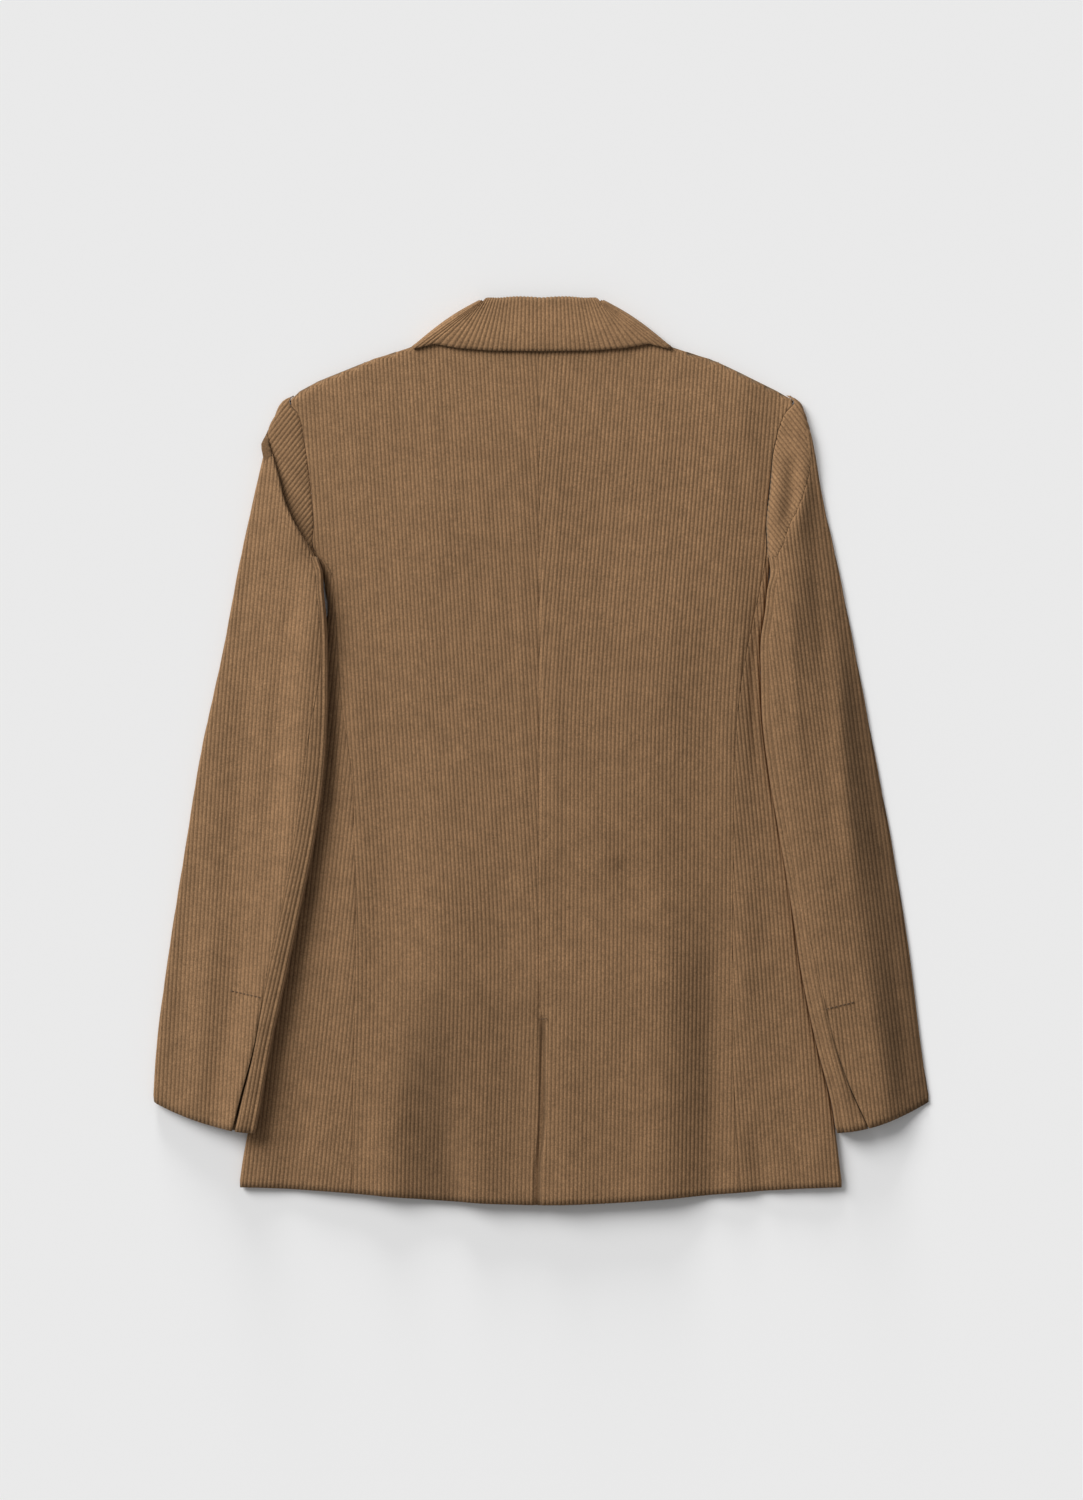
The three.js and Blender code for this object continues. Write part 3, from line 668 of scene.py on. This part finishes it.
def tucked(path, u, share):
    """Turns the start of a row under itself, as a fold that lies over the sleeve's cap."""
    start, y, z = path[0]
    radius = min(2.4, max((z - SIDE_HEIGHT) / 2, 0.6)) * max(share, 0.3)
    angle = np.linspace(-math.pi / 2, math.pi / 2, 9)[:-1]
    curl = np.stack([
        start + radius - radius * np.cos(angle),
        np.full(8, y),
        z - radius + radius * np.sin(angle),
    ], axis=1)
    hidden = np.linspace(start + radius + 0.6 + 7 * share, start + radius + 0.5, 4)
    under = np.stack([hidden, np.full(4, y), np.full(4, z - 2 * radius)], axis=1)
    keep = path[:, 0] > start + radius
    keep[len(path) // 2:] = True
    turned = np.concatenate([under, curl, path[keep]])
    steps = np.linalg.norm(np.diff(turned, axis=0), axis=1)
    length = np.concatenate([[0], np.cumsum(steps)])
    first = len(under) + len(curl)
    shift = u[keep][0] - length[first]
    return turned, np.concatenate([length[:first] + shift, u[keep]])


def cap_row(side, y):
    """The cap: from the armhole seam to the ridge or under the tuck, and round the top's outer edge."""
    name = name_of(side)
    inner = float(read(BACK, name, y)) + 0.1
    outer = float(read(SLEEVE_OUTER, name, y))
    edge = float(read(CAP_EDGE, name, y))
    wraps = y >= (262 if side > 0 else 249)
    if side < 0:
        outer = outer - emerged(y)
    end = outer if wraps else min(edge + (9 if side < 0 else 0), outer - 0.5)
    turn = min(EDGE, (outer - inner) * 0.6)
    out = np.linspace(inner, max(end, inner + (0.5 if wraps else 4)), 30)
    if side < 0:
        z = np.full(30, SIDE_HEIGHT - 0.3) + 1.2 * np.sin(math.pi * np.clip((out - inner) / 26, 0, 1))
    else:
        z = sleeve_top(side, y, out)
    over = np.clip((out - (outer - turn)) / turn, 0, 1)
    z = z - SIDE_HEIGHT / 2 * (1 - np.sqrt(1 - over**2))
    z = z * (1 - 0.45 * float(smooth((y - 281) / 9)) ** 2)
    if side > 0:
        z = z - 1.4 * float(smooth((172 - y) / 14)) * (1 - smooth((out - inner) / 4))
    path = np.stack([out, np.full(30, y), z], axis=1)
    if not wraps:
        return y, path, plan_u(path, "cap") * CAP_SLANT
    angle = np.linspace(0, math.pi / 2, 7)[1:]
    low = outer - turn * (1 - np.cos(angle))
    below = np.concatenate([low, np.linspace(low[-1] - 0.5, inner + 0.3, 12)])
    below_z = np.concatenate([SIDE_HEIGHT / 2 * (1 - np.sin(angle)), np.zeros(12)]) + 0.35
    path = np.concatenate([path, np.stack([below, np.full(18, y), below_z], axis=1)])
    return y, path, wrapped_u(path, "cap", 30) * CAP_SLANT


def make_top_sleeve(side, cloth):
    name = name_of(side)
    upper = [top_sleeve_row(side, y) for y in heights(262, ARMHOLE_LOW_Y, 4)]
    lower = [top_sleeve_row(side, y) for y in heights(ARMHOLE_LOW_Y - 1.5, CUFF_LOW_Y)]
    cap_low = ARMHOLE_LOW_Y if side < 0 else ARMHOLE_LOW_Y - 1.5
    cap = [cap_row(side, y) for y in heights(290.5, cap_low, 2.2)]
    dip = 0.0 if side < 0 else 0.1

    def main_dips(y):
        return dip + 0.9 * float(smooth((CUFF_VENT_Y - y) / 10)), 0.5

    def cap_dips(y):
        return 0.45 if side < 0 and y < 280 else 0.12, dip

    main = Strip(upper + lower, side, dips=main_dips, end_dips=(0.3, 0.8),
                 thin=lambda y: 0.2 + 0.8 * emerged(y) if side < 0 else 1.0)
    caps = Strip(cap, side, dips=cap_dips, end_dips=(0.1, 0.0),
                 thin=lambda y: 1 - 0.7 * float(smooth((y - 283) / 6)))
    return garment_piece(f"cloth_top_sleeve_{name}", f"top_sleeve_{name}", [main, caps], cloth)


def under_sleeve_row(side, y):
    name = name_of(side)
    inner, _, _ = row_frame(side, y)
    inseam = inner + EDGE + 0.6 + (SLEEVE_INSEAM - EDGE - 1) * float(smooth((ARMPIT_Y + 12 - y) / 28))
    vent = (2.4 if side < 0 else 0.5) * cuff_vent(y)
    elbow = inner + float(read(SLEEVE_INNER, f"elbow_{name}", y)) - 0.1 - vent
    under = np.linspace(inseam, inner + EDGE, 20)
    angle = np.linspace(0, math.pi, 17)[1:-1]
    turned = inner + EDGE - EDGE * np.sin(angle) ** 0.45
    if side > 0:
        leaning = smooth((angle - 1.7) / 0.6) * smooth((math.pi - angle) / 0.5)
        turned = turned - 1.9 * leaning * smooth((150 - y) / 20)
    top = np.linspace(inner + EDGE, max(elbow, inner + EDGE + 0.3), 16)
    out = np.concatenate([under, turned, top])
    line = row_line(side, y, out)
    base = float(sleeve_base(np.array(inner + EDGE), line[20], side))
    top_z = sleeve_top(side, y, top)
    z = np.concatenate([
        sleeve_base(under, line[:20], side),
        base + (top_z[0] - base) * (1 - np.sign(np.cos(angle)) * np.abs(np.cos(angle)) ** 0.7) / 2,
        top_z - 0.5 * cuff_vent(y),
    ])
    path = np.stack([out, line, z], axis=1)
    steps = np.linalg.norm(np.diff(path, axis=0), axis=1)
    length = np.concatenate([[0], np.cumsum(steps)])
    return y, path, length - length[27]


def make_under_sleeve(side, cloth):
    name = name_of(side)
    rows = [under_sleeve_row(side, y) for y in heights(ARMHOLE_LOW_Y, CUFF_LOW_Y)]
    strip = Strip(rows, side, dips=lambda y: (0.4, 0.2 + 0.8 * float(smooth((CUFF_VENT_Y - y) / 10))),
                  end_dips=(0.0, 0.8), thin=lambda y: 1 - 0.9 * float(smooth((y - 144) / 12)))
    return garment_piece(f"cloth_under_sleeve_{name}", f"under_sleeve_{name}", [strip], cloth)


# ---------- collar ----------

COLLAR_TIP = np.array([107.0, 331.0])
COLLAR_CORNER = np.array([49.0, 370.6])
COLLAR_LOW = {"out": [0, 42, 68, 88, 110], "low": [326.0, 326.5, 328.5, 332.0, 336.0]}
COLLAR_DEPTH = 5.2


def neck_top():
    """Height of the back's top at the neck, where the collar lies on it."""
    return float(back_top(np.array(0.0), 332.0, 1))


def collar_columns():
    """Roll point, edge point, height and fold of the right half, from the centre back to the gorge."""
    top = neck_top() + REST_GAP + CLOTH + 1.6
    radius = top / 2
    reach = COLLAR_CORNER[0] - 2
    slant = (COLLAR_TIP - COLLAR_CORNER) / np.linalg.norm(COLLAR_TIP - COLLAR_CORNER)
    inward = np.array([slant[1], -slant[0]])
    columns = []
    for x in np.linspace(0, 88, 45):
        wave = 0.9 * math.sin(x / 13) * float(smooth((60 - x) / 30))
        corner_drop = 3.2 * float(smooth((x - 62) / 26)) ** 2
        roll_x = reach * (1 - (1 - x / 88) ** (88 / reach))
        roll = np.array([roll_x, COLLAR_CORNER[1] + wave - corner_drop])
        low = float(np.interp(x, COLLAR_LOW["out"], COLLAR_LOW["low"]))
        columns.append((roll, np.array([x, low]), top, 1.0, inward * 0))
    for turn in np.linspace(0.02, 1, 25):
        angle = math.pi * turn
        shift = inward * radius * 0.6 * (1 - math.sin(angle))
        fold = max(math.cos(angle), 0.0)
        roll = COLLAR_CORNER + shift * 0.3 - [0, 2.0]
        bow = inward * -2.6 * math.sin(angle)
        columns.append((roll, COLLAR_TIP + shift, radius * (1 + math.cos(angle)), fold, bow))
    last_roll, last_edge = columns[-1][0], columns[-1][1]
    for t in np.linspace(0.08, 1, 14):
        roll = last_roll + (np.array([GORGE[0], GORGE[1] + 0.4]) - last_roll) * t
        edge = last_edge + (np.array([98.0, 309.0]) - last_edge) * t
        columns.append((roll, edge, 0.0, 0.0, inward * 0))
    return columns


def collar_point(column, v):
    """A point of one column: v from -1 to 0 goes over the roll, and from 0 to 1 down the fall."""
    roll, edge, z, fold, bow = column
    length = np.linalg.norm(edge - roll)
    along = (edge - roll) / length
    bend = max(COLLAR_DEPTH * fold, 1.6)
    if v < 0:
        angle = (1 + v) * math.pi / 2
        place = roll + along * bend * (1 - math.cos(angle))
        return [place[0], place[1], z - COLLAR_DEPTH * fold * (1 - math.sin(angle))]
    place = roll + along * (bend + (length - bend) * v) + bow * math.sin(math.pi * min(v + 0.12, 1))
    swell = 0.7 * math.sin(math.pi * min(v * 1.1, 1)) * fold
    return [place[0], place[1], z + swell - 0.3 * v * v * fold]


def make_collar(cloth):
    right = collar_columns()
    middle = [collar_point(column, 0.45) for column in right]
    steps = np.linalg.norm(np.diff(np.array(middle), axis=0), axis=1)
    reach = np.concatenate([[0], np.cumsum(steps)])
    u = np.concatenate([-reach[:0:-1], reach])
    rows = []
    for v in np.concatenate([np.linspace(-1, 0, 7)[:-1], np.linspace(0, 1, 16)]):
        half = np.array([collar_point(column, v) for column in right])
        mirrored = half[:0:-1] * [-1, 1, 1]
        rows.append((372 - 23 * (v + 1), np.concatenate([mirrored, half]), u))
    strip = Strip(rows, 1, wall=1.4, end_dips=(0.0, 0.7), dips=lambda y: (0.4, 0.4))
    return garment_piece("cloth_collar_fall", "collar_fall", [strip], cloth)


def make_stand(cloth):
    top = neck_top()
    rows = []
    for y in heights(STAND_TOP_Y, NECK_Y + 0.4, 4):
        half = 40 + (STAND_TOP_Y - y) / (STAND_TOP_Y - NECK_Y) * 34
        out = np.linspace(-half, half, 60)
        path = np.stack([out, np.full(60, y), np.full(60, top)], axis=1)
        rows.append((y, path, out.copy()))
    strip = Strip(rows, 1, height=0.0)
    return garment_piece("cloth_collar_stand", "collar_stand", [strip], cloth)


# ---------- stitching ----------

def thread_stitch(start, end, radius=0.38):
    """One stitch: a short thread that rises from the cloth and dips back, as a closed tube."""
    start, end = np.array(start), np.array(end)
    along = (end - start) / np.linalg.norm(end - start)
    side = np.cross(along, [0, 0, 1.0])
    rings = []
    for t, size in zip((0, 0.15, 0.5, 0.85, 1), (0.3, 0.9, 1.0, 0.9, 0.3)):
        centre = start + (end - start) * t + np.array([0, 0, 0.35 * math.sin(math.pi * t)])
        angle = np.arange(6) * math.pi / 3
        spoke = np.outer(np.cos(angle), side) + np.outer(np.sin(angle), [0, 0, 1.0])
        rings.append(centre + spoke * radius * size)
    triangles = []
    for ring in range(4):
        for k in range(6):
            a, b = ring * 6 + k, ring * 6 + (k + 1) % 6
            triangles += [[a, b, b + 6], [a, b + 6, a + 6]]
    for k in range(1, 5):
        triangles += [[0, k + 1, k], [24, 24 + k, 25 + k]]
    return np.concatenate(rings), np.array(triangles)


def stitch_line(places, length=2.6, gap=0.9):
    """Stitches along a line of points (x, y, z)."""
    places = np.array(places, float)
    steps = np.linalg.norm(np.diff(places, axis=0), axis=1)
    reach = np.concatenate([[0], np.cumsum(steps)])
    made = []
    for start in np.arange(0, reach[-1] - length, length + gap):
        ends = [[np.interp(at, reach, places[:, k]) for k in range(3)] for at in (start, start + length)]
        made.append(thread_stitch(*ends))
    return made


def cuff_line(side, y, first, last):
    """A line over a sleeve, parallel to its cuff."""
    out = np.linspace(first, last, 12)
    return np.stack([side * out, row_line(side, y, out), sleeve_top(side, y, out) + 0.1], axis=1)


def make_stitching(material):
    made = stitch_line(cuff_line(-1, -205, 229, 257)) + stitch_line(cuff_line(1, -214, 232, 257))
    tack = []
    for x in (-1.0, 2.0, 5.0):
        tack.append((x, -219.5 + 0.1 * x, float(back_top(np.array(x), -218.0, 1)) + 0.4))
    made += stitch_line(tack, length=1.6, gap=0.3)
    vertices, triangles = joined(made)
    piece = mesh_object("stitching", vertices, triangles, np.ones(len(vertices)), material)
    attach(piece, "root")


# ---------- materials ----------

def node(tree, kind, **values):
    made = tree.nodes.new(kind)
    for key, value in values.items():
        if key in made.inputs:
            made.inputs[key].default_value = value
        else:
            setattr(made, key, value)
    return made


def remap(tree, old, new):
    made = node(tree, "ShaderNodeMapRange")
    for key, value in zip(("From Min", "From Max", "To Min", "To Max"), (*old, *new)):
        made.inputs[key].default_value = value
    return made


def two_tones(tree, dark, pale, start=0.0, end=1.0):
    made = node(tree, "ShaderNodeValToRGB")
    for element, color, place in zip(made.color_ramp.elements, (dark, pale), (start, end)):
        element.color = (*color, 1)
        element.position = place
    return made


def new_material(name, look):
    """A material, its node tree and its shader, with the look's values set."""
    material = bpy.data.materials.new(name)
    material.use_nodes = True
    shader = material.node_tree.nodes["Principled BSDF"]
    for key, value in look.items():
        shader.inputs[key].default_value = value
    return material, material.node_tree, shader


def corduroy():
    material, tree, shader = new_material("corduroy", {
        "Roughness": 0.92, "Specular IOR Level": 0.12, "Sheen Weight": 0.18,
        "Sheen Roughness": 0.55, "Sheen Tint": (0.9, 0.72, 0.5, 1),
    })
    place = node(tree, "ShaderNodeTexCoord")
    # Grooves darker than crests: partly the ground weave's own colour, partly painted shade in the
    # grooves; drawn-in edges carry painted shade too
    wale_and_painted_shade = node(tree, "ShaderNodeAttribute", attribute_name="wale_and_painted_shade")
    ramp = two_tones(tree, (0.16, 0.092, 0.046), (0.262, 0.150, 0.075), 0.15, 0.8)
    pile = node(tree, "ShaderNodeTexNoise", Scale=800.0, Detail=4.0, Roughness=0.7)
    tufts = remap(tree, (0.32, 0.68), (0.62, 1.32))
    cloud = node(tree, "ShaderNodeTexNoise", Scale=80.0, Detail=6.0, Roughness=0.66)
    patches = remap(tree, (0.35, 0.65), (0.89, 1.10))
    both = node(tree, "ShaderNodeMath", operation="MULTIPLY")
    # The per-point factor of painted shade and painted highlight scales the cloth's colour
    painted_light = node(tree, "ShaderNodeAttribute", attribute_name="painted_light")
    pile_and_painted_light = node(tree, "ShaderNodeMath", operation="MULTIPLY")
    tint = node(tree, "ShaderNodeVectorMath", operation="SCALE")
    bump = node(tree, "ShaderNodeBump", Strength=0.5, Distance=0.0004)
    link = tree.links.new
    link(place.outputs["Object"], pile.inputs["Vector"])
    link(place.outputs["Object"], cloud.inputs["Vector"])
    link(wale_and_painted_shade.outputs["Fac"], ramp.inputs["Fac"])
    link(pile.outputs["Fac"], tufts.inputs["Value"])
    link(cloud.outputs["Fac"], patches.inputs["Value"])
    link(tufts.outputs["Result"], both.inputs[0])
    link(patches.outputs["Result"], both.inputs[1])
    link(ramp.outputs["Color"], tint.inputs[0])
    link(both.outputs["Value"], pile_and_painted_light.inputs[0])
    link(painted_light.outputs["Fac"], pile_and_painted_light.inputs[1])
    link(pile_and_painted_light.outputs["Value"], tint.inputs["Scale"])
    link(tint.outputs["Vector"], shader.inputs["Base Color"])
    link(pile.outputs["Fac"], bump.inputs["Height"])
    link(bump.outputs["Normal"], shader.inputs["Normal"])
    return material


def toned_material(name, roughness, kind, grain, dark, pale):
    """A plain material whose colour runs between two tones along a texture's grain."""
    material, tree, shader = new_material(name, {"Roughness": roughness})
    place = node(tree, "ShaderNodeTexCoord")
    texture = node(tree, kind, **grain)
    ramp = two_tones(tree, dark, pale)
    tree.links.new(place.outputs["Object"], texture.inputs["Vector"])
    tree.links.new(texture.outputs["Fac"], ramp.inputs["Fac"])
    tree.links.new(ramp.outputs["Color"], shader.inputs["Base Color"])
    return material


def thread():
    return toned_material("thread", 0.7, "ShaderNodeTexWave", {"Scale": 900.0, "Distortion": 1.5},
                          (0.06, 0.034, 0.017), (0.13, 0.075, 0.038))


def horn():
    return toned_material("horn_look", 0.38, "ShaderNodeTexNoise",
                          {"Scale": 90.0, "Detail": 5.0, "Distortion": 2.5},
                          (0.022, 0.012, 0.007), (0.13, 0.07, 0.035))


# ---------- stage ----------

def make_floor():
    bpy.ops.mesh.primitive_plane_add(size=FLOOR_SIZE, location=(0, 0, FLOOR_Z))
    floor = bpy.context.object
    floor.name = "floor"
    material, _, _ = new_material("floor", {
        "Base Color": (0.93, 0.93, 0.93, 1), "Roughness": 1.0, "Specular IOR Level": 0.0,
    })
    floor.data.materials.append(material)
    return floor


def make_lamp(name, kind, energy, towards, distance):
    lamp = bpy.data.lights.new(name, kind)
    lamp.energy = energy
    light = bpy.data.objects.new(name, lamp)
    direction = Vector(towards).normalized()
    light.location = direction * distance
    light.rotation_mode = "QUATERNION"
    light.rotation_quaternion = direction.to_track_quat("Z", "Y")
    bpy.context.collection.objects.link(light)
    return lamp


def make_light(floor):
    """A broad window light, a softbox for the garment alone, and a low light for the floor alone.
    The camera sees the world brighter than it lights, so the background stays pale."""
    world = bpy.data.worlds.new("studio")
    bpy.context.scene.world = world
    world.use_nodes = True
    tree = world.node_tree
    path = node(tree, "ShaderNodeLightPath")
    seen = remap(tree, (0, 1), (0.30, 0.80))
    tree.links.new(path.outputs["Is Camera Ray"], seen.inputs["Value"])
    tree.links.new(seen.outputs["Result"], tree.nodes["Background"].inputs["Strength"])
    tree.nodes["Background"].inputs["Color"].default_value = (1, 1, 1, 1)
    sun = make_lamp("window", "SUN", 2.8, (-0.55, 0.48, 0.46), 3)
    sun.angle = math.radians(34)
    softbox = make_lamp("softbox", "AREA", 9, (-0.95, 1.0, 1.15), 1.7)
    softbox.size = 0.7
    wash = make_lamp("floor_wash", "SUN", 2.3, (-0.12, 1.0, 0.15), 3)
    wash.angle = math.radians(15)
    for lamp, state in (("softbox", "EXCLUDE"), ("floor_wash", "INCLUDE")):
        reached = bpy.data.collections.new(f"{lamp}_floor")
        reached.objects.link(floor)
        reached.collection_objects[0].light_linking.link_state = state
        bpy.data.objects[lamp].light_linking.receiver_collection = reached


def make_camera():
    lens = bpy.data.cameras.new("camera")
    lens.lens = 100
    lens.sensor_width = 36
    lens.clip_end = 20
    camera = bpy.data.objects.new("camera", lens)
    camera.location = (0, 0, CAMERA_HEIGHT)
    bpy.context.collection.objects.link(camera)
    bpy.context.scene.camera = camera
    bpy.context.scene.view_settings.view_transform = "Standard"


make_camera()
make_light(make_floor())
cloth = corduroy()
for side in (-1, 1):
    make_back(side, cloth)
    make_side(side, cloth)
    make_front(side, cloth)
    make_lapel(side, cloth)
    make_top_sleeve(side, cloth)
    make_under_sleeve(side, cloth)
make_collar(cloth)
make_stand(cloth)
make_stitching(thread())
button_finish = horn()
for column in (1, 2):
    for row in (1, 2, 3):
        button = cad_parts[f"button_{column}_{row}"]
        for material_slot in button.material_slots:
            material_slot.material = button_finish
